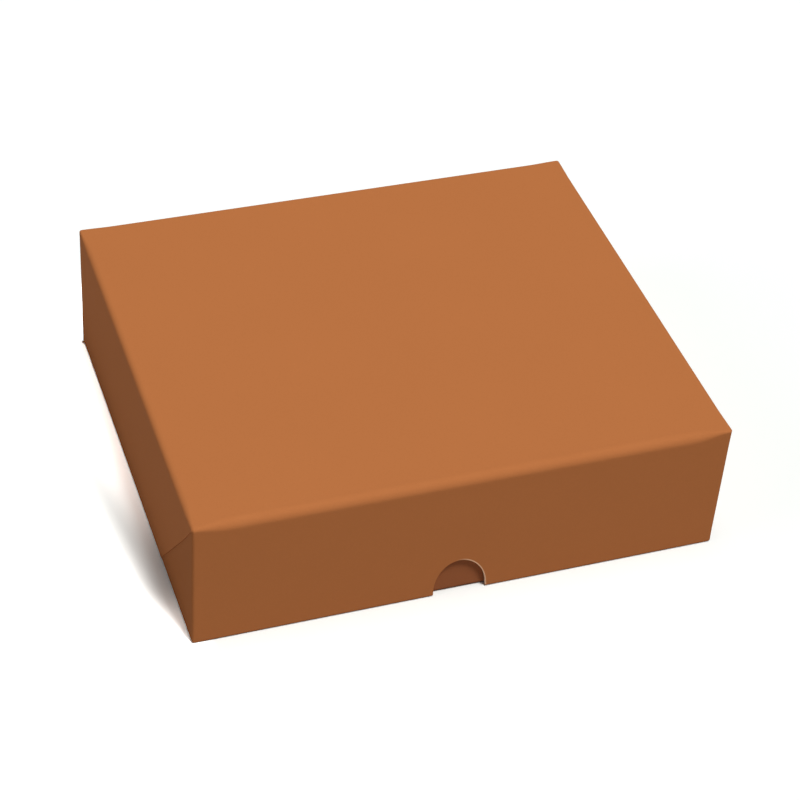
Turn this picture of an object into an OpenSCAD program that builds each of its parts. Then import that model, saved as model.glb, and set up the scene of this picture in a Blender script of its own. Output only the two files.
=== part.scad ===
// A two-piece rectangular keepsake box: a tray, and a lid as deep as the tray.
// Each is a folded board shell with stays in its corners, wrapped and lined with paper.
// The lid drops over the tray and rests on its rim.
// X runs along the front, Y towards the back and Z up. The origin is on the ground,
// under the middle of the box.

/* [Closed box] */
// Width along the front
box_w = 220; // [150:1:320]
// Depth from front to back
box_d = 190; // [130:1:300]
// Height from the ground to the top of the lid
box_h = 61; // [45:1:110]

/* [Board and paper] */
// Thickness of the board
board_t = 1.2; // [0.9:0.1:1.8]
// Thickness of one layer of wrapping paper
wrap_t = 0.2; // [0.15:0.01:0.3]
// Thickness of the lining paper
liner_t = 0.2; // [0.15:0.01:0.3]
// Thickness of the paper sheet under the tray
base_sheet_t = 0.2; // [0.15:0.01:0.4]

/* [Fit of the lid] */
// Gap on each side between the tray and the lid
side_gap = 0.35; // [0.2:0.05:1.5]
// Gap between the ground and the lid's rim
rim_gap = 0.5; // [0.3:0.1:4]

/* [Folds] */
// Outer radius of the folds between a panel and its walls
fold_r = 2.5; // [2:0.1:3.4]
// Outer radius of the upright corners
corner_r = 1.2; // [0.8:0.1:2]
// Width of the cut between two walls of the board at a corner
corner_cut = 0.25; // [0.1:0.05:0.6]

/* [Paper edges] */
// Depth of the wrap that is turned in over each rim
turn_in = 18; // [10:1:25]
// Width of the tray's wrap that is turned under its floor
under_turn = 14; // [8:1:25]
// Distance of the base sheet's edge from the tray's walls
base_inset = 4; // [3.5:0.5:7]
// Distance along the lid's side from the front corner to the foot of the diagonal lap
lap_reach = 48; // [30:1:60]

/* [Corner stays] */
// Width of a stay on each wall
stay_w = 20; // [10:1:35]
// Thickness of a stay
stay_t = 0.15; // [0.1:0.01:0.25]

/* [Thumb notches] */
// Width of the notch at the lid's rim
notch_w = 22; // [16:1:30]
// Height of the notch above the lid's rim
notch_h = 17; // [12:0.5:24]
// Height above the rim at which the notch's straight sides meet its arch
notch_spring = 1.2; // [0.5:0.1:4]

/* [Hidden] */
$fn = 64;

// How far a cut runs past the face that it opens
overrun = 1;
// Layers of wrap on the lid's left and right: the tabs from the front and back, and the side
lid_side_layers = 2;
// Layers of wrap on the tray's left and right
tray_side_layers = 1;

// Paper on the inside of a wall, whichever of wrap and lining is thicker
inner_paper_t = max(wrap_t, liner_t);
// Radii of the board under its wrap
board_fold_r = fold_r - wrap_t;
board_corner_r = corner_r - wrap_t;

// The lid's board, as width, depth and height
lid_board = [
    box_w - 2 * lid_side_layers * wrap_t,
    box_d - 2 * wrap_t,
    box_h - rim_gap - 2 * wrap_t
];
// Thickness of the lid's top, through wrap, board and lining
lid_top_t = wrap_t + board_t + liner_t;

// The tray's outside, as it fits in the lid and carries its top
tray_w = lid_board[0] - 2 * (board_t + inner_paper_t + side_gap);
tray_d = lid_board[1] - 2 * (board_t + inner_paper_t + side_gap);
tray_h = box_h - lid_top_t;
// Height of the tray's board above the ground
tray_floor_z = base_sheet_t + wrap_t;
// The tray's board, as width, depth and height
tray_board = [
    tray_w - 2 * tray_side_layers * wrap_t,
    tray_d - 2 * wrap_t,
    tray_h - tray_floor_z - wrap_t
];

// Upright corners, as the side of X and the side of Y
FRONT_LEFT = [-1, -1];
FRONT_RIGHT = [1, -1];
BACK_LEFT = [-1, 1];
BACK_RIGHT = [1, 1];
CORNERS = [FRONT_LEFT, FRONT_RIGHT, BACK_LEFT, BACK_RIGHT];

// Colours of the papers and the board
wrap_colour = [0.73, 0.45, 0.26];
board_colour = [0.76, 0.60, 0.48];
liner_colour = [0.66, 0.42, 0.26];
stay_colour = [0.80, 0.66, 0.46];

// Rectangle with rounded corners, centred
module rounded_plan(w, d, r) {
    square([w - 2 * r, d], center = true);
    square([w, d - 2 * r], center = true);
    for (corner = CORNERS)
        translate([corner[0] * (w / 2 - r), corner[1] * (d / 2 - r)]) circle(r);
}

// Upright section through a panel and two walls, with rounded folds at its foot
module fold_section(w, h, r) {
    translate([-w / 2, r]) square([w, h - r]);
    translate([-w / 2 + r, 0]) square([w - 2 * r, h]);
    for (side = [-1, 1])
        translate([side * (w / 2 - r), r]) circle(r);
}

// Block with rounded folds round its foot and rounded upright corners
module folded_block(w, d, h, fold, corner) {
    intersection() {
        linear_extrude(h) rounded_plan(w, d, corner);
        translate([0, d / 2, 0]) rotate([90, 0, 0]) linear_extrude(d) fold_section(w, h, fold);
        translate([-w / 2, 0, 0]) rotate([90, 0, 90]) linear_extrude(w) fold_section(d, h, fold);
    }
}

// Block with sharp edges, centred on X and Y and standing on Z = 0
module plain_block(w, d, h) {
    translate([-w / 2, -d / 2, 0]) cube([w, d, h]);
}

// Everything below is drawn as an open tray with the board's panel on Z = 0.
// A size is the board's outside, as width, depth and height.

// One corner stay: a thin angle of paper let into the board, from the fold to the rim
module stay(size, corner) {
    translate([0, 0, board_fold_r])
        linear_extrude(size[2] - board_fold_r)
            intersection() {
                difference() {
                    rounded_plan(size[0], size[1], board_corner_r);
                    rounded_plan(size[0] - 2 * stay_t, size[1] - 2 * stay_t, board_corner_r - stay_t);
                }
                translate([corner[0] * size[0] / 2, corner[1] * size[1] / 2])
                    square(2 * stay_w, center = true);
            }
}

// Folded board: the front and back walls run the full width, and the side walls end
// in a fine cut behind them
module board(size) {
    inner_w = size[0] - 2 * board_t;
    inner_d = size[1] - 2 * board_t;
    difference() {
        folded_block(size[0], size[1], size[2], board_fold_r, board_corner_r);
        translate([0, 0, board_t]) plain_block(inner_w, inner_d, size[2]);
        for (corner = CORNERS) {
            stay(size, corner);
            translate([
                corner[0] * (size[0] - board_t) / 2,
                corner[1] * (inner_d - corner_cut) / 2,
                board_fold_r
            ])
                plain_block(board_t + 2 * overrun, corner_cut, size[2]);
        }
    }
}

// Wrap: the paper outside the board, over its rim and turned in behind it
module wrap(size, side_layers) {
    outer_w = size[0] + 2 * side_layers * wrap_t;
    outer_d = size[1] + 2 * wrap_t;
    inner_w = size[0] - 2 * board_t;
    inner_d = size[1] - 2 * board_t;
    mouth_w = inner_w - 2 * wrap_t;
    mouth_d = inner_d - 2 * wrap_t;
    difference() {
        translate([0, 0, -wrap_t])
            folded_block(outer_w, outer_d, size[2] + 2 * wrap_t, fold_r, corner_r);
        folded_block(size[0], size[1], size[2], board_fold_r, board_corner_r);
        translate([0, 0, size[2] - overrun]) plain_block(mouth_w, mouth_d, wrap_t + 2 * overrun);
    }
    translate([0, 0, size[2] + wrap_t - turn_in])
        difference() {
            plain_block(inner_w, inner_d, turn_in);
            translate([0, 0, -overrun]) plain_block(mouth_w, mouth_d, turn_in + 2 * overrun);
        }
}

// Lining: paper over the inside of the panel and up the walls to the turned-in wrap
module liner(size) {
    inner_w = size[0] - 2 * board_t;
    inner_d = size[1] - 2 * board_t;
    liner_h = size[2] + wrap_t - turn_in - board_t;
    translate([0, 0, board_t])
        difference() {
            plain_block(inner_w, inner_d, liner_h);
            translate([0, 0, liner_t])
                plain_block(inner_w - 2 * liner_t, inner_d - 2 * liner_t, liner_h);
        }
}

// Turns a piece of the lid over and puts it in its place
module as_lid() {
    translate([0, 0, box_h - wrap_t]) mirror([0, 0, 1]) children();
}

// Lifts a piece of the tray to its height above the ground
module as_tray() {
    translate([0, 0, tray_floor_z]) children();
}

// Arched thumb notches through the lid's front and back walls
module thumb_notches() {
    arch_h = notch_h - notch_spring;
    translate([0, box_d / 2 + overrun, rim_gap])
        rotate([90, 0, 0])
            linear_extrude(box_d + 2 * overrun) {
                translate([-notch_w / 2, -overrun]) square([notch_w, notch_spring + overrun]);
                translate([0, notch_spring]) scale([notch_w / 2 / arch_h, 1]) circle(arch_h);
            }
}

// The step at a front corner of the lid's side, where the side's paper is cut back
// along the diagonal and the tab from the front shows
module lap_step(side) {
    front_y = -box_d / 2;
    fold_z = box_h - fold_r;
    rise_per_run_share = (fold_z - rim_gap) / lap_reach;
    difference() {
        translate([side > 0 ? box_w / 2 - wrap_t - corner_r : -box_w / 2 - overrun, 0, 0])
            rotate([90, 0, 90])
                linear_extrude(corner_r + wrap_t + overrun)
                    polygon([
                        [front_y - overrun, fold_z + rise_per_run_share * overrun],
                        [front_y + lap_reach + overrun, rim_gap - rise_per_run_share * overrun],
                        [front_y - overrun, rim_gap - rise_per_run_share * overrun]
                    ]);
        linear_extrude(box_h) rounded_plan(box_w - 2 * wrap_t, box_d, corner_r);
    }
}

module lid_board() {
    color(board_colour)
        difference() {
            as_lid() board(lid_board);
            thumb_notches();
        }
}

module lid_wrap() {
    color(wrap_colour)
        difference() {
            as_lid() wrap(lid_board, lid_side_layers);
            thumb_notches();
            for (side = [-1, 1])
                lap_step(side);
        }
}

module lid_liner() {
    color(liner_colour)
        difference() {
            as_lid() liner(lid_board);
            thumb_notches();
        }
}

module lid_stay(corner) {
    color(stay_colour) as_lid() stay(lid_board, corner);
}

module tray_board() {
    color(board_colour) as_tray() board(tray_board);
}

// The tray's wrap is a strip round its walls, turned in at the rim and under the floor
module tray_wrap() {
    color(wrap_colour)
        difference() {
            as_tray() wrap(tray_board, tray_side_layers);
            plain_block(tray_w - 2 * under_turn, tray_d - 2 * under_turn, tray_floor_z + overrun);
        }
}

// Paper under the tray: it lies on the turned-under wrap and steps up to the board inside it
module tray_base_sheet() {
    middle_w = tray_w - 2 * under_turn;
    middle_d = tray_d - 2 * under_turn;
    color(wrap_colour)
        difference() {
            union() {
                plain_block(tray_w - 2 * base_inset, tray_d - 2 * base_inset, base_sheet_t);
                plain_block(middle_w, middle_d, tray_floor_z);
            }
            translate([0, 0, -overrun])
                plain_block(
                    middle_w - 2 * base_sheet_t,
                    middle_d - 2 * base_sheet_t,
                    wrap_t + overrun
                );
        }
}

module tray_liner() {
    color(liner_colour) as_tray() liner(tray_board);
}

module tray_stay(corner) {
    color(stay_colour) as_tray() stay(tray_board, corner);
}

lid_board();
lid_wrap();
lid_liner();
lid_stay(FRONT_LEFT);  // lid_stay_front_left
lid_stay(FRONT_RIGHT);  // lid_stay_front_right
lid_stay(BACK_LEFT);  // lid_stay_back_left
lid_stay(BACK_RIGHT);  // lid_stay_back_right
tray_board();
tray_wrap();
tray_base_sheet();
tray_liner();
tray_stay(FRONT_LEFT);  // tray_stay_front_left
tray_stay(FRONT_RIGHT);  // tray_stay_front_right
tray_stay(BACK_LEFT);  // tray_stay_back_left
tray_stay(BACK_RIGHT);  // tray_stay_back_right
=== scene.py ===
"""Looks of a two-piece keepsake box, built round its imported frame.

A deep lid stands over a tray of the same height. Both are folded board shells wrapped in one
plain warm paper. The paper of the lid's left and right lies over the tabs from the front, with
its front edge cut on the diagonal, and an arched thumb notch is cut through the finished wall.
"""

import math
from functools import partial
from types import SimpleNamespace

import bpy
import numpy as np
from mathutils import Matrix, Vector


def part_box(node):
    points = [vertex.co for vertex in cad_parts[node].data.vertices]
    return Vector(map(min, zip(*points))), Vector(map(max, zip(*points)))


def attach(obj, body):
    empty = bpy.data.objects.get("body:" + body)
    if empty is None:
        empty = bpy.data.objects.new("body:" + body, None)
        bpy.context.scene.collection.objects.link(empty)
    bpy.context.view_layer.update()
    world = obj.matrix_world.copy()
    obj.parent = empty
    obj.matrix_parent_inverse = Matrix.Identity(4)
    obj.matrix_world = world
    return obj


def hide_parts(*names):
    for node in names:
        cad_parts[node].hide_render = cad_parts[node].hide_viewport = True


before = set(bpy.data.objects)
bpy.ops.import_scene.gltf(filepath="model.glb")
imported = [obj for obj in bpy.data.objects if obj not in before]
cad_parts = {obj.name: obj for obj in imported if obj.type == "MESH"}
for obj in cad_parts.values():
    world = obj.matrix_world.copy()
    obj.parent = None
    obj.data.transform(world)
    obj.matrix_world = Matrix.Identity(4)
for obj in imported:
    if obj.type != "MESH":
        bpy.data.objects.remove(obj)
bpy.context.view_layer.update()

bl_info = {
    "name": "Wrapped Keepsake Box",
    "version": (1, 0, 0),
    "blender": (4, 5, 0),
    "location": "3D View > Sidebar > Keepsake Box",
    "description": "Builds the papers, board and linings of a two-piece keepsake box",
    "category": "Add Mesh",
}

MM = 0.001

# Sizes that the frame gives: half width and half depth, and heights above the ground
LID_LOW, LID_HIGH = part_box("lid_wrap")
BOARD_LOW, BOARD_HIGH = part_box("lid_board")
LID_LINER_LOW, LID_LINER_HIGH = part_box("lid_liner")
TRAY_LOW, TRAY_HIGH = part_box("tray_wrap")
TRAY_LINER_LOW, TRAY_LINER_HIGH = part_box("tray_liner")
BASE_LOW, BASE_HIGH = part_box("tray_base_sheet")
PAPER_T = LID_HIGH.z - BOARD_HIGH.z
LID_MOUTH = (LID_LINER_HIGH.x - PAPER_T, LID_LINER_HIGH.y - PAPER_T)
TRAY_MOUTH = (TRAY_LINER_HIGH.x - PAPER_T, TRAY_LINER_HIGH.y - PAPER_T)

# Air left between a paper's underside and the board, so that the two never share a face
GLUE_GAP = 0.01 * MM
# Radii of tight corners: inside the paper, inside the board, and of the paper under a floor
CREASE_RADIUS = 0.3 * MM
BOARD_CREASE = 0.1 * MM
UNDER_CORNER = 0.5 * MM
# Gap between papers laid edge to edge, and their seam's distance from a back corner
BUTT_GAP = 0.1 * MM
SEAM = 0.8 * MM

CORNER_STEPS = 5
FOLD_STEPS = 9
RIM_STEPS = 4
SHARP_ANGLE = math.radians(40)

# Shares of the way from a panel's middle to its fold, and down a wall from fold to rim
PANEL_SHARES = np.array([0, 0.1, 0.2, 0.32, 0.45, 0.6, 0.75, 0.88, 0.96, 0.99, 1])
WALL_SHARES = np.array(
    [0.012, 0.035, 0.07, 0.12, 0.2, 0.32, 0.45, 0.58, 0.7, 0.82, 0.9, 0.95, 0.982, 0.992, 1]
)
# How far the last two of these take the cut edge's colour along the notch: at the edge the
# paper's paler core, and on the face just beside it a painted highlight
CUT_AND_HIGHLIGHT_SHARES = {0.992: 0.85, 1: 1.0}
# Wear beside a fold, on it, and on the lid's and the tray's rims
BESIDE_FOLD, ON_FOLD, LID_RIM, TRAY_RIM = 0.5, 1.0, 0.6, 0.7

# Distances from a corner at which extra columns stand, and from which they are even
NEAR_CORNER = np.array([0.8, 2.0, 3.8, 6.0, 8.5, 11.5, 15.0]) * MM
EVEN_FROM = 19 * MM

# Colours of the floor as the camera sees it and of the light from low all round
FLOOR_TINT = (0.955, 0.99, 0.965)
SKY_TINT = (1.07, 0.985, 1.22)

# Direction along each side and out of it: front, right, back, left
ALONG = np.array([[1, 0], [0, 1], [-1, 0], [0, -1]], float)
OUT = np.array([[0, -1], [1, 0], [0, 1], [-1, 0]], float)


def number(name, description, default, kind=bpy.props.FloatProperty, **limits):
    """A number in the sidebar."""
    return kind(name=name, description=description, default=default, **limits)


def length(name, description, size, low=0.0):
    """A size in the sidebar, given in millimetres and kept in metres."""
    return number(name, description, size * MM, min=low, max=1.0, precision=5, unit="LENGTH")


def strength(name, description, default):
    """A strength of light in the sidebar."""
    return number(name, description, default, min=0.0)


def angle(name, description, degrees):
    """The angle that a light fills, in the sidebar."""
    return number(name, description, math.radians(degrees), min=0.0, max=math.pi, subtype="ANGLE")


def triple(name, description, default, **limits):
    """Three numbers in the sidebar."""
    return number(name, description, default, bpy.props.FloatVectorProperty, **limits)


def colour(name, description, default):
    """A paper or board colour in the sidebar, scene linear."""
    return triple(name, description, default, min=0.0, max=1.0, subtype="COLOR")


class KEEPSAKE_PG_sizes(bpy.types.PropertyGroup):
    """Folds, laps and notch that the frame's boxes don't give."""

    fold_radius: length("Fold Radius", "Radius of the back's and the right's folds", 1.6)
    front_fold: length("Front Fold", "Radius of the front's softer fold", 3.6)
    left_fold: length("Left Fold", "Radius of the left's fold", 2.6)
    corner_radius: length("Corner Radius", "Radius of the upright corners", 1.1)
    point_radius: length("Point Radius", "Radius of folds where three faces meet", 0.9)
    soft_point: length("Soft Point", "Radius of front and left folds where they meet", 1.5)
    taper: length("Taper", "Run over which a fold tightens towards its corner", 14)
    tray_corner: length("Tray Corner", "Radius of the tray's upright corners", 1.2)
    rim_radius: length("Rim Radius", "Radius of the paper's turns at a rim", 0.3)
    crown: length("Crown", "Rise of the lid's top in its middle", 0.12)
    bow: length("Bow", "Outward bow of the lid's walls in their middle", 0.1)
    notch_width: length("Notch Width", "Width of the thumb notch", 22.14)
    notch_rise: length("Notch Rise", "Height of the notch's arch", 15.94)
    notch_spring: length("Notch Spring", "Height of the arch's foot over the rim", 1.23)
    notch_shift: length("Notch Shift", "Distance of the notch from the middle", -0.17, -1.0)
    notch_lean: number(
        "Notch Lean", "Sideways drift of the arch over its height", -0.069, min=-0.3, max=0.3
    )
    lap_reach: length("Lap Reach", "Run of the diagonal lap along the lid's side", 48)
    lap_lift: length("Lap Lift", "Lift of the diagonal lap's edge off the tab", 0.12)
    under_turn: length("Under Turn", "Width of the tray's paper under its floor", 14)


class KEEPSAKE_PG_colours(bpy.types.PropertyGroup):
    """Colours of the papers and the board."""

    wrap: colour("Wrap", "Wrapping paper", (0.496, 0.173, 0.055))
    # Tray: painted shade, the tray's paper darker than the lid's for its shade inside the notch
    tray: colour("Tray", "The tray's wrapping paper", (0.345, 0.116, 0.044))
    # Tab: painted shade, a darker colour for the tabs bare below the side papers' diagonal edges
    tab: colour("Tab", "Wrapping paper darkened by glue", (0.430, 0.149, 0.046))
    # Cut Edge: the paper's paler core along the notch, and also a highlight painted beside it
    cut: colour("Cut Edge", "Cut edge of the wrapping paper", (0.930, 0.580, 0.350))
    wear: colour("Wear", "Wrapping paper rubbed at folds and rims", (0.580, 0.230, 0.085))
    board: colour("Board", "Board and its cut edges", (0.930, 0.700, 0.490))
    lining: colour("Lining", "Lining paper", (0.420, 0.190, 0.080))
    stay: colour("Stay", "Corner stays", (0.600, 0.390, 0.180))


class KEEPSAKE_PG_studio(bpy.types.PropertyGroup):
    """Light and floor."""

    key: strength("Key", "Irradiance of the top by the key light", 0.725)
    overhead: strength("Overhead", "Irradiance of the top by the overhead light", 0.18)
    left: strength("Left", "Irradiance of the top by the left light", 0.05)
    key_way: triple("Key Way", "Direction to the key light", (0.19, -0.38, 1.0))
    overhead_way: triple("Overhead Way", "Direction to the overhead light", (0.0, 0.0, 1.0))
    left_way: triple("Left Way", "Direction to the left light", (-1.95, 0.1, 1.0))
    key_spread: angle("Key Spread", "Angle that the key light fills", 16)
    overhead_spread: angle("Overhead Spread", "Angle that the overhead light fills", 24)
    left_spread: angle("Left Spread", "Angle that the left light fills", 40)
    sky: strength("Sky", "Light from low all round the box", 0.13)
    bounce: strength("Bounce", "Share of the light that the floor gives back", 0.5)
    floor: strength("Floor", "Whiteness of the floor as the camera sees it", 1.085)
    # The next three shape the light painted into the floor beside the left wall
    shade_place: length("Shade Place", "Depth at which the left shadow is darkest", -50, -1.0)
    shade_reach: length("Shade Reach", "Depth over which that shadow doubles its light", 22)
    shade_width: length("Shade Width", "Width over which that growth ends", 12.5)


# ---------- surfaces


def run(fixed, share, foot=None, turn=None, foot_z=None):
    """Columns of one straight side. At a ring whose half length less its radius is h, a column
    stands at fixed + share * h from the side's middle. Foot and turn are its fixed places on the
    rim and on the turned-in edge, and foot_z its foot's height on the notch's outline."""
    return {
        "fixed": fixed,
        "share": share,
        "foot": fixed if foot is None else foot,
        "turn": fixed if turn is None else turn,
        "foot_z": np.full(len(fixed), np.nan) if foot_z is None else foot_z,
    }


def side_run(reach):
    """Columns of the lid's right side, front to back, with a pair at the lap's foot and a pair
    where the side's paper ends at the back."""
    lap = -LID_HIGH.y + reach
    front = np.linspace(-LID_HIGH.y + EVEN_FROM, lap, 5)
    back = np.linspace(lap + BUTT_GAP, LID_HIGH.y - EVEN_FROM, 12)
    start = np.r_[0, NEAR_CORNER]
    end = np.r_[-NEAR_CORNER[:0:-1], -SEAM, -SEAM + 0.02 * MM, 0]
    share = np.r_[-np.ones(len(start)), np.zeros(len(front) + len(back)), np.ones(len(end))]
    return run(np.r_[start, front, back, end], share)


def reversed_run(one):
    """The same columns seen from the opposite side, whose direction runs the other way."""
    back = {key: value[::-1] for key, value in one.items()}
    return {**back, **{key: -back[key] for key in ("fixed", "share", "foot", "turn")}}


def notch_run(sizes):
    """Columns of a side with a thumb notch. The outline climbs straight from the rim to the
    arch's foot and then follows x = c - w cos(t), z = s + h sin(t) for t from 0 to half a turn,
    where the centre c drifts sideways with height. The feet follow the rim and that outline,
    and the heads spread out evenly above, so that no column crosses the notch."""
    half, rim = sizes.notch_width / 2, LID_LOW.z
    # Half runs of the side that the notch's columns take up, and their heads and their ends
    reach, heads, ends = 40 * MM, 30 * MM, 14 * MM
    low, spring = rim + sizes.rim_radius, rim + sizes.notch_spring
    turn = np.linspace(0, math.pi, 49)
    climb, fall = np.linspace(low, spring, 4)[:-1], np.linspace(spring, low, 4)[1:]
    z = np.r_[climb, spring + sizes.notch_rise * np.sin(turn), fall]
    wide = np.r_[np.full(3, -half), -half * np.cos(turn), np.full(3, half)]
    arch = sizes.notch_shift + sizes.notch_lean * (z - rim) + wide
    far = np.r_[np.ones(1 + len(NEAR_CORNER)), np.linspace(0.72, 0, 8)[:-1]]
    far_head = reach * (1 - far) - np.r_[0, NEAR_CORNER, np.zeros(7)]
    step = np.linspace(0, 1, 11)[:-1]
    eased = 1 - (1 - step) ** 2
    near_left = -reach + (arch[0] + reach) * eased
    near_right = reach - (reach - arch[-1]) * eased

    def spread(inner):
        near = reach - (reach - inner) * step
        head = np.linspace(-inner, inner, len(arch))
        return np.r_[-far_head, -near, head, near[::-1], far_head[::-1]]

    share = np.r_[-far, np.zeros(2 * len(step) + len(arch)), far[::-1]]
    foot = np.r_[-far_head, near_left, arch, near_right[::-1], far_head[::-1]]
    nothing = np.full(len(far) + len(step), np.nan)
    return run(spread(heads), share, foot, spread(ends), np.r_[nothing, z, nothing])


def columns(runs):
    """Columns round a rectangle with rounded corners, counterclockwise from the front's left
    end. A corner's columns turn the outward direction by equal steps from one side's to the
    next."""
    turn = np.radians(np.linspace(0, 90, CORNER_STEPS + 1)[1:-1])
    corner = run(np.zeros(len(turn)), np.ones(len(turn)))
    parts = [part for one in runs for part in (one, corner)]
    joined = {key: np.concatenate([part[key] for part in parts]) for key in corner}
    counts = [len(one["fixed"]) for one in runs]
    side = np.repeat(np.arange(4), [count + len(turn) for count in counts])
    bend = np.concatenate([np.r_[np.zeros(count), turn] for count in counts])
    out = OUT[side] * np.cos(bend)[:, None] + ALONG[side] * np.sin(bend)[:, None]
    return SimpleNamespace(**joined, side=side, bend=bend, out=out)


def even_columns(count):
    """Evenly spaced columns from corner to corner on all four sides."""
    return columns([run(np.zeros(count), np.linspace(-1, 1, count))] * 4)


def drawn(half, inset):
    """A half width and half depth, both drawn in by an inset."""
    return half[0] - inset, half[1] - inset


def ring(cols, half, radius, z, fixed=None):
    """One point for each column on a rounded rectangle at height z: its place along the side,
    out to the side's face less the radius, and then by the radius in its outward direction."""
    side, even = cols.side, cols.side % 2 == 0
    wide, deep = drawn(half, radius)
    along = cols.fixed if fixed is None else fixed
    along = along + cols.share * np.where(even, wide, deep)
    across = np.where(even, deep, wide)
    flat = ALONG[side] * along[:, None] + OUT[side] * across[:, None] + cols.out * radius
    return np.column_stack([flat, np.broadcast_to(z, side.shape)])


def panel_rows(edge, rise=0.0):
    """Rings from a panel's middle out to its edge, each the edge drawn in by its share q, with
    the middle raised by rise * (1 - q^2)^2."""
    share = PANEL_SHARES[:, None]
    height = edge[:, 2] + rise * (1 - share**2) ** 2
    return np.stack([share * edge[:, 0], share * edge[:, 1], height], axis=2)


def smooth(share):
    """3 s^2 - 2 s^3, with s held between 0 and 1."""
    share = np.clip(share, 0, 1)
    return share * share * (3 - 2 * share)


def fold_at(distance, wide, tight, sizes):
    """Radius of a fold at a distance from its corner: tight at the corner, wide past the
    taper."""
    return tight + (wide - tight) * smooth(distance / sizes.taper)


def corner_at(down, sizes):
    """Radius of an upright corner at a share of the way down: tight at fold and rim, full
    between them."""
    more, run_out = sizes.corner_radius - sizes.point_radius, 0.12
    return sizes.point_radius + more * smooth(np.minimum(down, 1 - down) / run_out)


def column_folds(cols, half, sizes):
    """Each column's fold radius, from its distance to the nearer corner. The front's and the
    left's folds are softer than the others, also in the corner where the two meet."""
    side = cols.side
    end = np.where(side % 2 == 0, half[0], half[1]) - sizes.point_radius
    place = cols.fixed + cols.share * end
    wide = np.array([sizes.front_fold, sizes.fold_radius, sizes.fold_radius, sizes.left_fold])
    meeting = np.where(side == 0, place < 0, (side == 3) & (place > 0))
    tight = np.where(meeting, sizes.soft_point, sizes.point_radius)
    return fold_at(end - np.abs(place), wide[side], tight, sizes)


def fold_ring(cols, half, folds, sizes, top, sine, cosine, inner=0.0):
    """The ring at one angle of a panel's fold: each column stands in from its wall by
    fold * (1 - sine) and down from the panel by fold * (1 - cosine)."""
    point = sizes.point_radius - inner
    size = drawn(half, point * (1 - sine))
    row = ring(cols, size, point, top - (folds - inner) * (1 - cosine))
    row[:, :2] -= cols.out * ((folds - inner - point) * (1 - sine))[:, None]
    return row


def quarter(steps):
    """Sine and cosine at equal steps of a quarter turn, without its start."""
    turn = np.radians(np.linspace(0, 90, steps + 1)[1:])
    return list(zip(np.sin(turn), np.cos(turn)))


def rim_turns(radius):
    """The paper's two quarter circles at a rim, each as insets from its wall and heights over
    the rim: in from the outer wall, then up to the inner wall, where the insets are negative."""
    turns = quarter(RIM_STEPS)
    outer = [(radius * (1 - cosine), radius * (1 - sine)) for sine, cosine in turns]
    turns = [(0.0, 1.0), *turns]
    return outer, [(-radius * (1 - sine), radius * (1 - cosine)) for sine, cosine in turns]


def surface(
    name, rows, pole_first=False, pole_last=False, closed=True, drop=None, flip=False, marks=None
):
    """Mesh object over a grid of points, rows by columns. A pole's row becomes one point, closed
    joins the last column to the first, and drop leaves faces out. Marks are values for each
    point that the materials read by name."""
    high, wide = rows.shape[:2]
    index = np.arange(high * wide).reshape(high, wide)
    if pole_first:
        index[0] = index[0, 0]
    if pole_last:
        index[-1] = index[-1, 0]
    if closed:
        index = np.column_stack([index, index[:, 0]])
    here, after = index[:, :-1], index[:, 1:]
    quads = np.stack([here[:-1], here[1:], after[1:], after[:-1]], axis=2)
    quads = quads.reshape(-1, 4) if drop is None else quads[~drop]
    used, quads = np.unique(quads, return_inverse=True)
    # At a pole two corners of a quad are one point, which leaves a triangle
    faces = [list(dict.fromkeys(quad)) for quad in quads.reshape(-1, 4).tolist()]
    faces = sorted((face[::-1] if flip else face for face in faces), key=len, reverse=True)
    mesh = bpy.data.meshes.new(name)
    mesh.from_pydata(rows.reshape(-1, 3)[used].tolist(), [], faces)
    for label, values in (marks or {}).items():
        layer = mesh.attributes.new(label, "FLOAT", "POINT")
        layer.data.foreach_set("value", values.ravel()[used].astype(np.float32))
    mesh.shade_smooth()
    mesh.validate()
    piece = bpy.data.objects.new(name, mesh)
    bpy.context.scene.collection.objects.link(piece)
    return piece


def thicken(piece):
    """Gives a sheet of paper its thickness behind its shown face and closes its edges, and
    keeps the result as the piece's own mesh."""
    solid = piece.modifiers.new("thickness", "SOLIDIFY")
    solid.thickness = PAPER_T - GLUE_GAP
    solid.offset = -1
    solid.use_even_offset = solid.use_quality_normals = True
    graph = bpy.context.evaluated_depsgraph_get()
    thin, thick = piece.data, bpy.data.meshes.new_from_object(piece.evaluated_get(graph))
    piece.modifiers.clear()
    piece.data = thick
    bpy.data.meshes.remove(thin)
    thick.name = piece.name


def settle(piece, material, body, slot, *nodes):
    """Sharpens a piece's cut edges, gives it its material and ties it to the frame."""
    piece.data.set_sharp_from_angle(angle=SHARP_ANGLE)
    piece.data.materials.clear()
    piece.data.materials.append(material)
    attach(piece, body)
    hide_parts(*nodes)


def paper(name, rows, material, body, slot, node, **shape):
    """A sheet of paper, from the grid of its shown face to its place in the frame."""
    piece = surface(name, rows, **shape)
    thicken(piece)
    settle(piece, material, body, slot, node)


# ---------- lid


def lid_columns(sizes):
    """Columns of the lid: notched front and back, and sides with places for the lap."""
    side, front = side_run(sizes.lap_reach), notch_run(sizes)
    cols = columns([front, side, front, reversed_run(side)])
    cols.notch = ~np.isnan(cols.foot_z)
    cols.foot_z = np.where(cols.notch, cols.foot_z, LID_LOW.z + sizes.rim_radius)
    return cols


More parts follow.
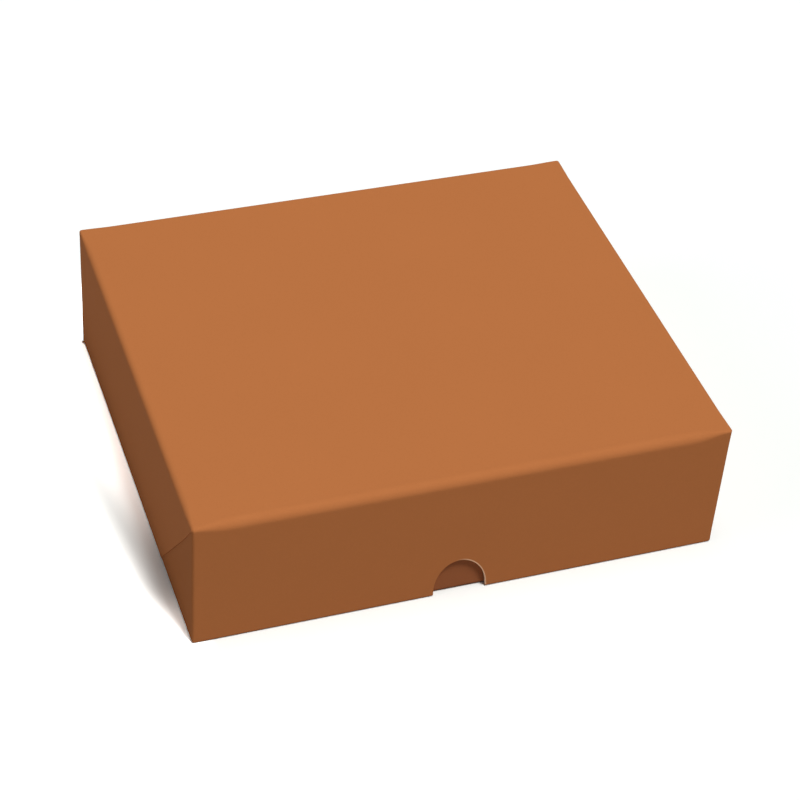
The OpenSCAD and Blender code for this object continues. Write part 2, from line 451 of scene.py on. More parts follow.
def lid_paper_rows(sizes, cols):
    """Grid of the lid's main paper. Its profile runs from the top's middle to the fold, round a
    quarter circle, down the wall, round the rim and up to the turned-in edge. On the left and
    right it is one paper thickness further in, where the side's paper lies over it."""
    half, point, folds = LID_HIGH[:2], sizes.point_radius, column_folds(cols, LID_HIGH, sizes)
    top, rim = LID_HIGH.z, LID_LOW.z
    side, share, bend = cols.side, cols.share, cols.bend
    right, left = side == 1, side == 3
    # A back corner's columns and the last two before it aren't under the side's paper
    beside = 0.99 * SEAM
    ends_right = right & ((bend > 0) | ((share == 1) & (cols.fixed > -beside)))
    starts_left = left & (share == -1) & (cols.fixed < beside)
    under = np.where((side == 2) | ends_right | starts_left, 0.0, PAPER_T)
    # Along the notch, from its middle to its right, the cut edge is lighter: its paler core and a
    # painted highlight on the face beside it. The left half has neither
    dark_run, bright_share = 8 * MM, 0.4
    bright = cols.notch * smooth((cols.foot - sizes.notch_shift) / dark_run + bright_share)
    # How far each column is on a tab from the front or the back, and so how much painted shade
    # darkens it
    tab = np.where(right | left, np.cos(bend), np.sin(bend))
    edge = fold_ring(cols, half, folds, sizes, top, 0.0, 1.0)
    rows = list(panel_rows(edge, sizes.crown))
    tabs, worn, cuts_and_highlights = ([0 * tab] * len(rows) for _ in range(3))
    worn[-1] = worn[-1] + BESIDE_FOLD

    def add(row, tab_shade_share=0.0, wear=0.0, cut=0.0):
        rows.append(row)
        tabs.append(tab * tab_shade_share)
        worn.append(0 * tab + wear)
        cuts_and_highlights.append(0 * tab + cut)

    for sine, cosine in quarter(FOLD_STEPS):
        size = (half[0] - under * (1 - cosine), half[1])
        add(fold_ring(cols, size, folds, sizes, top, sine, cosine), 1 - cosine, ON_FOLD)
    head_z = top - folds
    line = np.abs(cols.fixed + share * (half[0] - point)) / half[0]
    for down in WALL_SHARES:
        z = head_z + (cols.foot_z - head_z) * down
        fixed = cols.fixed + (cols.foot - cols.fixed) * down
        row = ring(cols, (half[0] - under, half[1]), corner_at(down, sizes), z, fixed)
        bow = sizes.bow * math.sin(math.pi * down) ** 2 * np.clip(1 - line**2, 0, 1)
        row[:, :2] += cols.out * bow[:, None]
        add(row, 1.0, BESIDE_FOLD * (down < 0.02), bright * CUT_AND_HIGHLIGHT_SHARES.get(down, 0.0))
    wall_end = len(rows) - 1
    outer, inner = rim_turns(sizes.rim_radius)
    for inset, rise in outer:
        size = (half[0] - under - inset, half[1] - inset)
        add(ring(cols, size, point, rim + rise, cols.foot), 1.0, LID_RIM)
    for inset, rise in inner[:-1]:
        size = drawn(LID_MOUTH, inset)
        add(ring(cols, size, CREASE_RADIUS, rim + rise, cols.foot), 0.0, LID_RIM)
    turned = len(rows)
    for up in (0, 0.02, 0.3, 0.65, 1):
        z = cols.foot_z + (LID_LINER_LOW.z - cols.foot_z) * up
        fixed = cols.foot + (cols.turn - cols.foot) * up
        add(ring(cols, LID_MOUTH, CREASE_RADIUS, z, fixed), cut=bright * (up == 0))
    # No faces go round the rim along the notch, nor inside where the side's paper is turned in
    drop = np.zeros((len(rows) - 1, len(side)), bool)
    drop[wall_end:turned] |= cols.notch & np.roll(cols.notch, -1)
    past_lap = edge[:, 1] > -half[1] + sizes.lap_reach + BUTT_GAP / 2
    inside = (right | left) & (bend == 0) & past_lap & (under > 0)
    drop[wall_end:] |= inside & np.roll(inside, -1)
    # The tab mark carries painted shade, and the cut mark the cut edge's paler core with a painted
    # highlight
    marks = {"tab": np.array(tabs), "fold": np.array(worn), "cut": np.array(cuts_and_highlights)}
    return np.array(rows), drop, marks


def lid_core_rows(sizes, cols):
    """Closed grid of the lid's board: out over the top, down the outer face to the rim or the
    notch's outline, back up the inner face and in under the top."""
    half, top, folds = BOARD_HIGH[:2], BOARD_HIGH.z, column_folds(cols, LID_HIGH, sizes)
    inner, ceiling = LID_LINER_HIGH[:2], LID_LINER_HIGH.z
    foot_z = np.where(cols.notch, cols.foot_z, BOARD_LOW.z)
    rows = list(panel_rows(fold_ring(cols, half, folds, sizes, top, 0.0, 1.0, PAPER_T)))
    for sine, cosine in quarter(FOLD_STEPS):
        rows.append(fold_ring(cols, half, folds, sizes, top, sine, cosine, PAPER_T))
    head_z = top - folds + PAPER_T
    for down in WALL_SHARES:
        fixed = cols.fixed + (cols.foot - cols.fixed) * down
        radius = corner_at(down, sizes) - PAPER_T
        rows.append(ring(cols, half, radius, head_z + (foot_z - head_z) * down, fixed))
    for up in 1 - WALL_SHARES[::-1]:
        fixed = cols.foot + (cols.fixed - cols.foot) * up
        rows.append(ring(cols, inner, BOARD_CREASE, foot_z + (ceiling - foot_z) * up, fixed))
    rows.extend(panel_rows(ring(cols, inner, BOARD_CREASE, ceiling))[::-1])
    return np.array(rows)


def side_paper_rows(sizes, side):
    """Grid of one side's paper, from a strip on the top, over the fold, down the wall, round the
    rim and up inside. Its front edge follows the corner down the fold, runs on the diagonal
    from the fold's foot to the rim, and stays there inside. Near that edge the paper lifts by
    lift * exp(-distance / lift run) * sin(pi * share of the wall)."""
    half, top, rim, point = LID_HIGH[:2], LID_HIGH.z, LID_LOW.z, sizes.point_radius
    lap, low = -half[1] + sizes.lap_reach + BUTT_GAP, rim + sizes.rim_radius
    top_end, inner_end = half[1] - 2 * point, LID_MOUTH[1] - CREASE_RADIUS
    # Width of the strip on the top and its height over the main paper, how far the paper ends
    # before the seam, and the run of its lift
    strip, skim, short, lift_run = 1.6 * MM, 0.012 * MM, 0.03 * MM, 2.5 * MM
    # Each row: x and z of its flat part, how much the fold's radius draws them in and down,
    # where the straight side ends, the share of the wall, and the wear
    profile = [(half[0] - strip, top + skim, 1.0, 0.0, top_end, 0.0, 0.0)]
    profile.append((half[0], top + skim, 1.0, 0.0, top_end, 0.0, BESIDE_FOLD))
    for sine, cosine in quarter(FOLD_STEPS):
        end = half[1] - point * (1 - sine) - point
        profile.append((half[0], top + skim, 1 - sine, 1 - cosine, end, 0.0, ON_FOLD))
    for down in WALL_SHARES:
        bow = sizes.bow * math.sin(math.pi * down) ** 2
        end = half[1] - corner_at(down, sizes)
        z, wear = top + (low - top) * down, BESIDE_FOLD * (down < 0.02)
        profile.append((half[0] + bow, z, 0.0, 1 - down, end, down, wear))
    outer, inner = rim_turns(sizes.rim_radius)
    for inset, rise in outer:
        profile.append((half[0] - inset, rim + rise, 0.0, 0.0, half[1] - point, 1.0, LID_RIM))
    for inset, rise in inner:
        profile.append((LID_MOUTH[0] - inset, rim + rise, 0.0, 0.0, inner_end, 1.0, LID_RIM))
    for up in (0.02, 0.3, 0.65, 1):
        z = low + (LID_LINER_LOW.z - low) * up
        profile.append((LID_MOUTH[0], z, 0.0, 0.0, inner_end, 1.0, 0.0))
    x, z, drawn_in, drawn_down, end, down, wear = (v[:, None] for v in np.array(profile).T)
    front = np.where(down >= 1, lap, -end + (lap + end) * down)
    back = end - SEAM - short
    # Columns crowd towards the front edge, for its lift, and towards both corners
    share, crowd = np.linspace(0, 1, 48), 0.14
    y = front + (back - front) * (share - crowd * np.sin(2 * math.pi * share))
    lift = sizes.lap_lift * np.exp((front - y) / lift_run) * np.sin(np.pi * down)
    fade = np.clip(1 - (y / half[1]) ** 2, 0, 1)
    flat = np.where(x > half[0], half[0] + (x - half[0]) * fade, x)
    wide = sizes.left_fold if side < 0 else sizes.fold_radius
    tight = np.where((side < 0) & (y < 0), sizes.soft_point, point)
    fold = fold_at(end - np.abs(y), wide, tight, sizes)
    across = flat - fold * drawn_in + lift
    rows = np.stack([side * across, y, z - fold * drawn_down], axis=2)
    return rows, {"fold": wear + 0 * y}


def lining_rows(half, panel_z, edge_z):
    """Grid of a lining's shown face: out over the panel, round a tight crease and along the
    walls to its edge."""
    cols, crease = even_columns(25), CREASE_RADIUS
    way = 1 if edge_z > panel_z else -1
    rows = list(panel_rows(ring(cols, drawn(half, crease), 0.2 * MM, panel_z)))
    for sine, cosine in quarter(RIM_STEPS):
        size, z = drawn(half, crease * (1 - sine)), panel_z + way * crease * (1 - cosine)
        rows.append(ring(cols, size, crease, z))
    start = panel_z + way * crease
    for share in (0.03, 0.25, 0.5, 0.75, 0.97, 1):
        rows.append(ring(cols, half, crease, start + (edge_z - start) * share))
    return np.array(rows)


# ---------- tray


def tray_paper_rows(sizes):
    """Grid of the tray's paper: out under the floor, round the fold, up the wall, over the rim
    and down to the turned-in edge."""
    cols = even_columns(25)
    half, fold, corner = TRAY_HIGH[:2], sizes.fold_radius, sizes.tray_corner
    base, top, under = TRAY_LOW.z, TRAY_HIGH.z, sizes.under_turn
    rows, worn = [], []

    def add(size, radius, z, wear=0.0):
        rows.append(ring(cols, size, radius, z))
        worn.append(np.full(len(cols.side), wear))

    for inset in (under, under * 0.6, fold + 0.5 * MM, fold):
        add(drawn(half, inset), UNDER_CORNER, base)
    for sine, cosine in quarter(FOLD_STEPS):
        radius = UNDER_CORNER + (corner - UNDER_CORNER) * sine
        add(drawn(half, fold * (1 - sine)), radius, base + fold * (1 - cosine), ON_FOLD)
    low, high = base + fold, top - sizes.rim_radius
    for share in (0.012, 0.1, 0.3, 0.5, 0.7, 0.9, 0.99, 1):
        add(half, corner, low + (high - low) * share)
    outer, inner = rim_turns(sizes.rim_radius)
    for inset, drop in outer:
        add(drawn(half, inset), corner, top - drop, TRAY_RIM)
    for inset, drop in inner:
        add(drawn(TRAY_MOUTH, inset), CREASE_RADIUS, top - drop, TRAY_RIM)
    for share in (0.03, 0.3, 0.65, 0.97, 1):
        add(TRAY_MOUTH, CREASE_RADIUS, high + (TRAY_LINER_HIGH.z - high) * share)
    return np.array(rows), {"fold": np.array(worn)}


def base_paper_rows(sizes):
    """Grid of the sheet under the tray, seen from below: its middle lies against the board and
    steps down by one paper thickness, with a soft slope 2 mm wide, onto the wrap turned under
    the floor."""
    cols = even_columns(17)
    half, step, slope = BASE_HIGH[:2], BASE_LOW.z + PAPER_T, 2 * MM
    edge = sizes.under_turn - (TRAY_HIGH.x - half[0])
    rows = list(panel_rows(ring(cols, drawn(half, edge + slope / 2), UNDER_CORNER, step)))
    for share in (0.25, 0.5, 0.75, 1):
        size = drawn(half, edge + slope * (0.5 - share))
        rows.append(ring(cols, size, UNDER_CORNER, step - PAPER_T * smooth(share)))
    for inset in (edge * 0.5, 0.5 * MM, 0):
        rows.append(ring(cols, drawn(half, inset), UNDER_CORNER, BASE_LOW.z))
    return np.array(rows)


# ---------- materials


# Kinds of socket by the value that each starts from, and those values for a paper's texture
SOCKETS = {type(None): "NodeSocketVector", tuple: "NodeSocketColor", float: "NodeSocketFloat"}
TEXTURE = {"Mottling": 0.03, "Grain": 0.04, "Grain Scale": 900.0, "Roughness": 0.65}


def add_node(tree, kind, feeds=None, **settings):
    """A node with its settings, its inputs set or linked from other sockets."""
    node = tree.nodes.new(kind)
    for key, value in settings.items():
        setattr(node, key, value)
    for key, value in (feeds or {}).items():
        if isinstance(value, bpy.types.NodeSocket):
            tree.links.new(value, node.inputs[key])
        else:
            node.inputs[key].default_value = value
    return node


def maths(tree, operation, first, second=0.5, third=0.5):
    """The value of one Math node."""
    feeds = {0: first, 1: second, 2: third}
    return add_node(tree, "ShaderNodeMath", feeds, operation=operation).outputs[0]


def ramp(tree, value, start, stop):
    """A smooth step of a value from 0 at its start to 1 at its stop."""
    feeds = {"Value": value, "From Min": start, "From Max": stop}
    kind = "SMOOTHSTEP"
    return add_node(tree, "ShaderNodeMapRange", feeds, interpolation_type=kind).outputs[0]


def scaled(tree, colour, factor):
    """A colour times a factor."""
    feeds = {0: colour, "Scale": factor}
    return add_node(tree, "ShaderNodeVectorMath", feeds, operation="SCALE").outputs[0]


def blended(tree, factor, first, second):
    """The colour of one Mix node."""
    feeds = {0: factor, 6: first, 7: second}
    return add_node(tree, "ShaderNodeMix", feeds, data_type="RGBA").outputs[2]


def mixed(tree, factor, first, second):
    """A Mix Shader node between two shaders' nodes."""
    feeds = {0: factor, 1: first.outputs[0], 2: second.outputs[0]}
    return add_node(tree, "ShaderNodeMixShader", feeds)


def new_group(name, inputs, outputs):
    """An empty shader node group and its two ends. Each named socket comes with the value that
    it starts from, and a vector has none."""
    group = bpy.data.node_groups.new(name, "ShaderNodeTree")
    for way, sockets in (("INPUT", inputs), ("OUTPUT", outputs)):
        for label, value in sockets.items():
            kind = SOCKETS[type(value)]
            socket = group.interface.new_socket(label, in_out=way, socket_type=kind)
            if value is not None:
                socket.default_value = value
    given = group.nodes.new("NodeGroupInput").outputs
    return group, given, group.nodes.new("NodeGroupOutput").inputs


def noise(tree, vector, scale, detail=2.0, rough=0.5):
    """The value of one noise, from 0 to 1."""
    feeds = {"Vector": vector, "Scale": scale, "Detail": detail, "Roughness": rough}
    return add_node(tree, "ShaderNodeTexNoise", feeds).outputs[0]


def paper_grain():
    """Group for uncoated paper: slow mottling, fine pulp grain and short fibres lying mostly
    one way, as a colour, a roughness and a height."""
    name = "Paper Grain"
    if name in bpy.data.node_groups:
        return bpy.data.node_groups[name]
    grey = (0.5, 0.5, 0.5, 1)
    inputs = {"Vector": None, "Colour": grey, **TEXTURE}
    outputs = {"Colour": grey, "Roughness": 0.0, "Height": 0.0}
    tree, given, result = new_group(name, inputs, outputs)
    do = partial(maths, tree)
    slow = noise(tree, given["Vector"], 22.0, 3.0, 0.55)
    fine = noise(tree, given["Vector"], given["Grain Scale"], 3.0, 0.6)
    lie = {"Vector": given["Vector"], "Rotation": (0.3, 0.5, 0.6), "Scale": (9.0, 1.0, 1.4)}
    combed = add_node(tree, "ShaderNodeMapping", lie, vector_type="TEXTURE").outputs[0]
    fibre = ramp(tree, noise(tree, combed, 2400.0, 1.0, 0.4), 0.56, 0.72)
    slow, pulp = (do("SUBTRACT", value, 0.5) for value in (slow, fine))
    tone = do("MULTIPLY_ADD", slow, given["Mottling"], 1.0)
    tone = do("MULTIPLY_ADD", pulp, given["Grain"], tone)
    tone = do("MULTIPLY_ADD", fibre, do("MULTIPLY", given["Grain"], -0.45), tone)
    shade = scaled(tree, given["Colour"], tone)
    rough = do("MULTIPLY_ADD", pulp, 0.2, given["Roughness"])
    height = do("MULTIPLY_ADD", fibre, 0.5, fine)
    for label, value in zip(outputs, (shade, rough, height)):
        tree.links.new(value, result[label])
    return tree


def edge_wear():
    """Group for handling wear: a broken-up share of a mask that marks folds and rims."""
    name = "Edge Wear"
    if name in bpy.data.node_groups:
        return bpy.data.node_groups[name]
    inputs = {"Vector": None, "Mask": 0.0, "Amount": 0.3}
    tree, given, result = new_group(name, inputs, {"Factor": 0.0})
    broken = ramp(tree, noise(tree, given["Vector"], 90.0, 4.0, 0.6), 0.4, 0.75)
    worn = maths(tree, "MULTIPLY", maths(tree, "MULTIPLY", broken, given["Mask"]), given["Amount"])
    tree.links.new(worn, result["Factor"])
    return tree


def grain_node(tree, vector, colour, *texture):
    """The Paper Grain group placed in a material, with its texture's values in their order."""
    feeds = {"Vector": vector, "Colour": (*colour, 1), **dict(zip(TEXTURE, texture))}
    return add_node(tree, "ShaderNodeGroup", feeds, node_tree=paper_grain()).outputs


def mark(tree, name):
    """The value that a piece's points carry under this name, or 0 where they have none."""
    return add_node(tree, "ShaderNodeAttribute", attribute_name=name).outputs["Fac"]


def new_material(name):
    """A material with its tree, its shader, nearly without gloss, and Object coordinates."""
    material = bpy.data.materials.new(name)
    material.use_nodes = True
    tree = material.node_tree
    shader = tree.nodes["Principled BSDF"]
    shader.inputs["Specular IOR Level"].default_value = 0.04
    vector = add_node(tree, "ShaderNodeTexCoord").outputs["Object"]
    return material, tree, shader, vector


def dress(tree, shader, colour, grain, relief):
    """Feeds the shader's colour, and its roughness and normal from the grain."""
    tree.links.new(colour, shader.inputs["Base Color"])
    tree.links.new(grain["Roughness"], shader.inputs["Roughness"])
    feeds = {"Height": grain["Height"], "Strength": 0.5, "Distance": relief}
    bump = add_node(tree, "ShaderNodeBump", feeds)
    tree.links.new(bump.outputs[0], shader.inputs["Normal"])


def wrap_material(name="lid_wrapping_paper"):
    """Dyed wrapping paper, lighter on worn folds. Painted shade darkens its tabs, and along the
    notch's cut edge it is lighter: the paper's paler core and a painted highlight beside it.
    The tray's is darker than the lid's, painted shade for the tray seen in the lid's notch."""
    if name in bpy.data.materials:
        return bpy.data.materials[name]
    tints = bpy.context.scene.keepsake_colours
    material, tree, shader, vector = new_material(name)
    # The tray's darker colour is painted shade
    tint = tints.tray if name.startswith("tray") else tints.wrap
    grain = grain_node(tree, vector, tint, 0.035, 0.05, 900.0, 0.8)
    # Painted shade: the tabs mix towards a darker colour
    tab = grain_node(tree, vector, tints.tab, 0.05, 0.05, 900.0, 0.75)
    shade = blended(tree, mark(tree, "tab"), grain["Colour"], tab["Colour"])
    feeds = {"Vector": vector, "Mask": mark(tree, "fold"), "Amount": 0.06}
    wear = add_node(tree, "ShaderNodeGroup", feeds, node_tree=edge_wear()).outputs[0]
    worn = blended(tree, wear, shade, (*tints.wear, 1))
    # Along the notch: the cut edge's paler core, and a highlight painted on the face beside it
    cut = blended(tree, mark(tree, "cut"), worn, (*tints.cut, 1))
    dress(tree, shader, cut, grain, 0.03 * MM)
    return material


# Pale board with a fibrous cut edge, thin lining paper and brown gummed paper: each one's
# colour, mottling, grain, grain scale, roughness and relief
FINISHES = {
    "core_board": ("board", 0.08, 0.22, 1500.0, 0.8, 0.08 * MM),
    "lining_paper": ("lining", 0.06, 0.09, 700.0, 0.75, 0.04 * MM),
    "stay_paper": ("stay", 0.06, 0.12, 1200.0, 0.55, 0.03 * MM),
}


def plain_finish(name):
    """An undecorated paper or board with its own grain."""
    if name in bpy.data.materials:
        return bpy.data.materials[name]
    tint, *texture, relief = FINISHES[name]
    material, tree, shader, vector = new_material(name)
    tint = getattr(bpy.context.scene.keepsake_colours, tint)
    grain = grain_node(tree, vector, tint, *texture)
    dress(tree, shader, grain["Colour"], grain, relief)
    return material


# ---------- operators


class KEEPSAKE_OT_lid_paper(bpy.types.Operator):
    """Wrap the lid in its main paper, with tabs round the corners and a turned-in rim"""

    bl_idname = "keepsake.lid_paper"
    bl_label = "Lid Paper"

    def execute(self, context):
        sizes = context.scene.keepsake_sizes
        rows, drop, marks = lid_paper_rows(sizes, lid_columns(sizes))
        shape = {"pole_first": True, "drop": drop, "marks": marks}
        paper("lid_paper", rows, wrap_material(), "lid", "wrap", "lid_wrap", **shape)
        return {"FINISHED"}


class KEEPSAKE_OT_side_papers(bpy.types.Operator):
    """Lay the side papers over the tabs, with their front edges on the diagonal"""

    bl_idname = "keepsake.side_papers"
    bl_label = "Lid Side Papers"

    def execute(self, context):
        for name, side in (("lid_side_paper_left", -1), ("lid_side_paper_right", 1)):
            rows, marks = side_paper_rows(context.scene.keepsake_sizes, side)
            shape = {"closed": False, "flip": side < 0, "marks": marks}
            paper(name, rows, wrap_material(), "lid", "wrap", "lid_wrap", **shape)
        return {"FINISHED"}


class KEEPSAKE_OT_lid_core(bpy.types.Operator):
    """Fold the lid's board, cut by the same notches as its paper"""

    bl_idname = "keepsake.lid_core"
    bl_label = "Lid Core"

    def execute(self, context):
        sizes = context.scene.keepsake_sizes
        rows = lid_core_rows(sizes, lid_columns(sizes))
        piece = surface("lid_core", rows, pole_first=True, pole_last=True)
        settle(piece, plain_finish("core_board"), "lid", "board", "lid_board")
        return {"FINISHED"}


class KEEPSAKE_OT_linings(bpy.types.Operator):
    """Line the lid and the tray down to their turned-in papers"""

    bl_idname = "keepsake.linings"
    bl_label = "Linings"

    def execute(self, context):
        lining = plain_finish("lining_paper")
        rows = lining_rows(LID_MOUTH, LID_LINER_HIGH.z - PAPER_T, LID_LINER_LOW.z + BUTT_GAP)
        shape = {"pole_first": True, "flip": True}
        paper("lid_lining", rows, lining, "lid", "lining", "lid_liner", **shape)
        rows = lining_rows(TRAY_MOUTH, TRAY_LINER_LOW.z + PAPER_T, TRAY_LINER_HIGH.z - BUTT_GAP)
        paper("tray_lining", rows, lining, "tray", "lining", "tray_liner", pole_first=True)
        return {"FINISHED"}


class KEEPSAKE_OT_tray_paper(bpy.types.Operator):
    """Wrap the tray's walls, turned in at the rim and under the floor"""

    bl_idname = "keepsake.tray_paper"
    bl_label = "Tray Paper"

    def execute(self, context):
        rows, marks = tray_paper_rows(context.scene.keepsake_sizes)
        brown, shape = wrap_material("tray_wrapping_paper"), {"flip": True, "marks": marks}
        paper("tray_paper", rows, brown, "tray", "wrap", "tray_wrap", **shape)
        return {"FINISHED"}


class KEEPSAKE_OT_base_paper(bpy.types.Operator):
    """Lay the sheet under the tray, over the wrap's turned-under edge"""

    bl_idname = "keepsake.base_paper"
    bl_label = "Base Paper"

    def execute(self, context):
        rows = base_paper_rows(context.scene.keepsake_sizes)
        brown, shape = wrap_material("tray_wrapping_paper"), {"pole_first": True, "flip": True}
        paper("tray_base_paper", rows, brown, "tray", "wrap", "tray_base_sheet", **shape)
        return {"FINISHED"}


class KEEPSAKE_OT_frame_finishes(bpy.types.Operator):
    """Give the tray's board and the corner stays their materials"""

    bl_idname = "keepsake.frame_finishes"
    bl_label = "Board and Stays"

    def execute(self, context):
        finishes = {name: "stay_paper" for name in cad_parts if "_stay_" in name}
        for name, finish in {"tray_board": "core_board", **finishes}.items():
            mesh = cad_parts[name].data
            mesh.materials.clear()
            mesh.materials.append(plain_finish(finish))
        return {"FINISHED"}


class KEEPSAKE_OT_stage(bpy.types.Operator):
    """Set the floor, the soft light and the camera"""

    bl_idname = "keepsake.stage"
    bl_label = "Stage"

    def execute(self, context):
        studio = context.scene.keepsake_studio
        lay_floor(studio)
        light_world(context.scene, studio)
        for name in ("key", "overhead", "left"):
            hang_light(context.scene, studio, name)
        place_camera(context.scene)
        context.scene.view_settings.view_transform = "Standard"
        return {"FINISHED"}


# ---------- stage


def seen_rays(tree):
    """1 for rays that show the background itself: from the camera, in gloss and through glass."""
    path = add_node(tree, "ShaderNodeLightPath").outputs
    seen = maths(tree, "MAXIMUM", path["Is Camera Ray"], path["Is Glossy Ray"])
    return maths(tree, "MAXIMUM", seen, path["Is Transmission Ray"])


def floor_white_and_painted_light(tree, studio):
    """How white, and faintly green, the camera sees the floor, with light painted into it beside
    the box's left wall. There the whiteness grows in three ways, added up. Towards the back from
    one depth it grows by q / (1 + q / 5), where q is the squared distance from there over the
    reach, most at the wall and ending at the shade's width, which widens with that growth.
    Outside a wedge that opens from the near corner it grows by 1.8, and towards that corner by
    up to 1.5. So this painted light shapes the box's shadow: it starts as a faint wedge, is
    darkest at that depth and is lighter to the back."""
    limit, widening, beyond_wedge, at_corner = 5, 3.2 * MM, 1.8, 1.5
    # The wedge's inner and outer slopes from the wall, and its edge's softness at the corner
    inner, outer, soft = 0.11, 0.42, 2 * MM
    do = partial(maths, tree)
    place = add_node(tree, "ShaderNodeTexCoord").outputs["Object"]
    part = add_node(tree, "ShaderNodeSeparateXYZ", {0: place}).outputs
    wall, front = -LID_HIGH.x, -LID_HIGH.y
    left = ramp(tree, part["X"], wall + 10 * MM, wall)
    away = do("SUBTRACT", part["Y"], studio.shade_place)
    away = do("POWER", do("DIVIDE", do("MAXIMUM", away, 0.0), studio.shade_reach), 2.0)
    away = do("DIVIDE", away, do("MULTIPLY_ADD", away, 1 / limit, 1.0))
    width = do("MULTIPLY_ADD", away, widening, studio.shade_width)
    near = do("POWER", ramp(tree, part["X"], do("SUBTRACT", wall, width), wall), 2.0)
    behind = do("MAXIMUM", do("SUBTRACT", part["Y"], front), 0.0)
    beyond = do("MULTIPLY_ADD", behind, -inner, do("SUBTRACT", wall, part["X"]))
    outside = ramp(tree, beyond, 0.0, do("MULTIPLY_ADD", behind, outer, soft))
    corner = do("POWER", ramp(tree, behind, 42 * MM, 10 * MM), 2.0)
    # Painted light: these raise the floor's whiteness beside the left wall, shaping the shadow
    growth = do("MULTIPLY_ADD", outside, beyond_wedge, do("MULTIPLY", away, near))
    growth = do("MULTIPLY_ADD", corner, at_corner, growth)
    growth = do("MULTIPLY_ADD", growth, left, 1.0)
    return scaled(tree, FLOOR_TINT, do("MULTIPLY", growth, studio.floor))


def lay_floor(studio):
    """A round floor: white for the camera, with light painted in beside the box's left wall,
    duller for the light that it gives back, and clear from below."""
    reach = np.array([0, 0.1, 0.2, 0.4, 0.8, 1.6, 3.0])[:, None]
    turn = np.linspace(0, 2 * math.pi, 64, endpoint=False)
    x, y, below = reach * np.cos(turn), reach * np.sin(turn), 0.05 * MM
    floor = surface("floor", np.stack([x, y, 0 * x - below], axis=2), pole_first=True)
    material = bpy.data.materials.new("pale_floor")
    material.use_nodes = True
    tree = material.node_tree
    tree.nodes.clear()
    shown = add_node(tree, "ShaderNodeBsdfDiffuse", {"Color": floor_white_and_painted_light(tree, studio)})
    given = add_node(tree, "ShaderNodeBsdfDiffuse", {"Color": (*[studio.bounce] * 3, 1)})
    clear = add_node(tree, "ShaderNodeBsdfTransparent")
    watched = add_node(tree, "ShaderNodeLightPath").outputs["Is Camera Ray"]
    under = add_node(tree, "ShaderNodeNewGeometry").outputs["Backfacing"]
    both = mixed(tree, under, mixed(tree, watched, given, shown), clear)
    add_node(tree, "ShaderNodeOutputMaterial", {0: both.outputs[0]})
    floor.data.materials.append(material)


def light_world(scene, studio):
    """Fill light that grows towards the horizon as (1 - z)^2, and plain white where the
    background itself is seen."""
    world = bpy.data.worlds.new("studio")
    world.use_nodes = True
    tree = world.node_tree
    tree.nodes.clear()
    do = partial(maths, tree)
    way = add_node(tree, "ShaderNodeTexCoord").outputs["Generated"]
    part = add_node(tree, "ShaderNodeSeparateXYZ", {0: way}).outputs
    rise = do("SUBTRACT", 1.0, do("MAXIMUM", part["Z"], 0.0))
    low = do("MULTIPLY", do("POWER", rise, 2.0), studio.sky)
    lit = add_node(tree, "ShaderNodeBackground", {"Color": (*SKY_TINT, 1), "Strength": low})
    white = add_node(tree, "ShaderNodeBackground", {"Color": (1, 1, 1, 1), "Strength": 1.0})
    both = mixed(tree, seen_rays(tree), lit, white)
    add_node(tree, "ShaderNodeOutputWorld", {0: both.outputs[0]})
    scene.world = world


def hang_light(scene, studio, name):
    """A distant soft light that alone shows a white floor at its level."""
    way = Vector(getattr(studio, name + "_way"))
    lamp = bpy.data.lights.new(name, "SUN")
    lamp.energy = getattr(studio, name) * math.pi * way.length / way.z
    lamp.angle = getattr(studio, name + "_spread")
    light = bpy.data.objects.new(name, lamp)
    light.rotation_mode = "QUATERNION"
    light.rotation_quaternion = way.to_track_quat("Z", "Y")
    light.location = way
    scene.collection.objects.link(light)


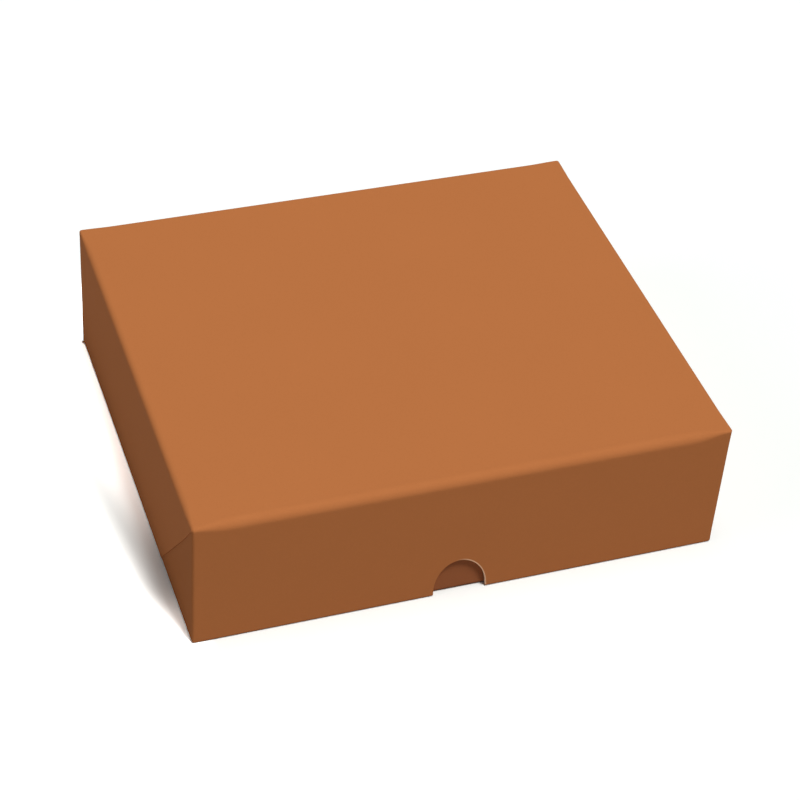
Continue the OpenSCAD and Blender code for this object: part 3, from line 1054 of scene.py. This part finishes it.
def place_camera(scene):
    """The camera at the photograph's angle: azimuth, elevation, roll and distance about the
    middle of the closed box, then a small move in its own picture plane."""
    azimuth, elevation, roll = (math.radians(v) for v in (-21.477, 40.84, 4.603))
    distance, move_right, move_up = (v * MM for v in (976.8, 4.99, -6.855))
    right = Vector((math.cos(azimuth), math.sin(azimuth), 0))
    level = Vector((math.sin(azimuth), -math.cos(azimuth), 0))
    back = level * math.cos(elevation) + Vector((0, 0, math.sin(elevation)))
    up = back.cross(right)
    middle = Vector((0, 0, LID_HIGH.z / 2))
    place = middle + back * distance + right * move_right + up * move_up
    across = right * math.cos(roll) + up * math.sin(roll)
    above = up * math.cos(roll) - right * math.sin(roll)
    lens = bpy.data.cameras.new("camera")
    lens.sensor_width, lens.lens = 36, 104.95
    lens.clip_start, lens.clip_end = 0.05, 20
    camera = bpy.data.objects.new("camera", lens)
    camera.matrix_world = Matrix(
        [[across[i], above[i], back[i], place[i]] for i in range(3)] + [[0, 0, 0, 1]]
    )
    scene.collection.objects.link(camera)
    scene.camera = camera


OPERATORS = (
    KEEPSAKE_OT_lid_core,
    KEEPSAKE_OT_lid_paper,
    KEEPSAKE_OT_side_papers,
    KEEPSAKE_OT_linings,
    KEEPSAKE_OT_tray_paper,
    KEEPSAKE_OT_base_paper,
    KEEPSAKE_OT_frame_finishes,
    KEEPSAKE_OT_stage,
)


GROUPS = {
    "keepsake_sizes": KEEPSAKE_PG_sizes,
    "keepsake_colours": KEEPSAKE_PG_colours,
    "keepsake_studio": KEEPSAKE_PG_studio,
}


class KEEPSAKE_PT_box(bpy.types.Panel):
    """Sidebar panel with the box's pieces, sizes and colours"""

    bl_idname = "KEEPSAKE_PT_box"
    bl_label = "Keepsake Box"
    bl_space_type = "VIEW_3D"
    bl_region_type = "UI"
    bl_category = "Keepsake Box"

    def draw(self, context):
        for operator in OPERATORS:
            self.layout.operator(operator.bl_idname)
        for group in GROUPS:
            values = getattr(context.scene, group)
            for name in values.__annotations__:
                self.layout.prop(values, name)


def register():
    for kind in (*GROUPS.values(), *OPERATORS, KEEPSAKE_PT_box):
        bpy.utils.register_class(kind)
    for name, kind in GROUPS.items():
        setattr(bpy.types.Scene, name, bpy.props.PointerProperty(type=kind))


def unregister():
    for name in GROUPS:
        delattr(bpy.types.Scene, name)
    for kind in (KEEPSAKE_PT_box, *reversed(OPERATORS), *GROUPS.values()):
        bpy.utils.unregister_class(kind)


def main():
    """Builds every piece and the stage."""
    register()
    for operator in OPERATORS:
        group, name = operator.bl_idname.split(".")
        getattr(getattr(bpy.ops, group), name)()


if __name__ == "__main__":
    main()
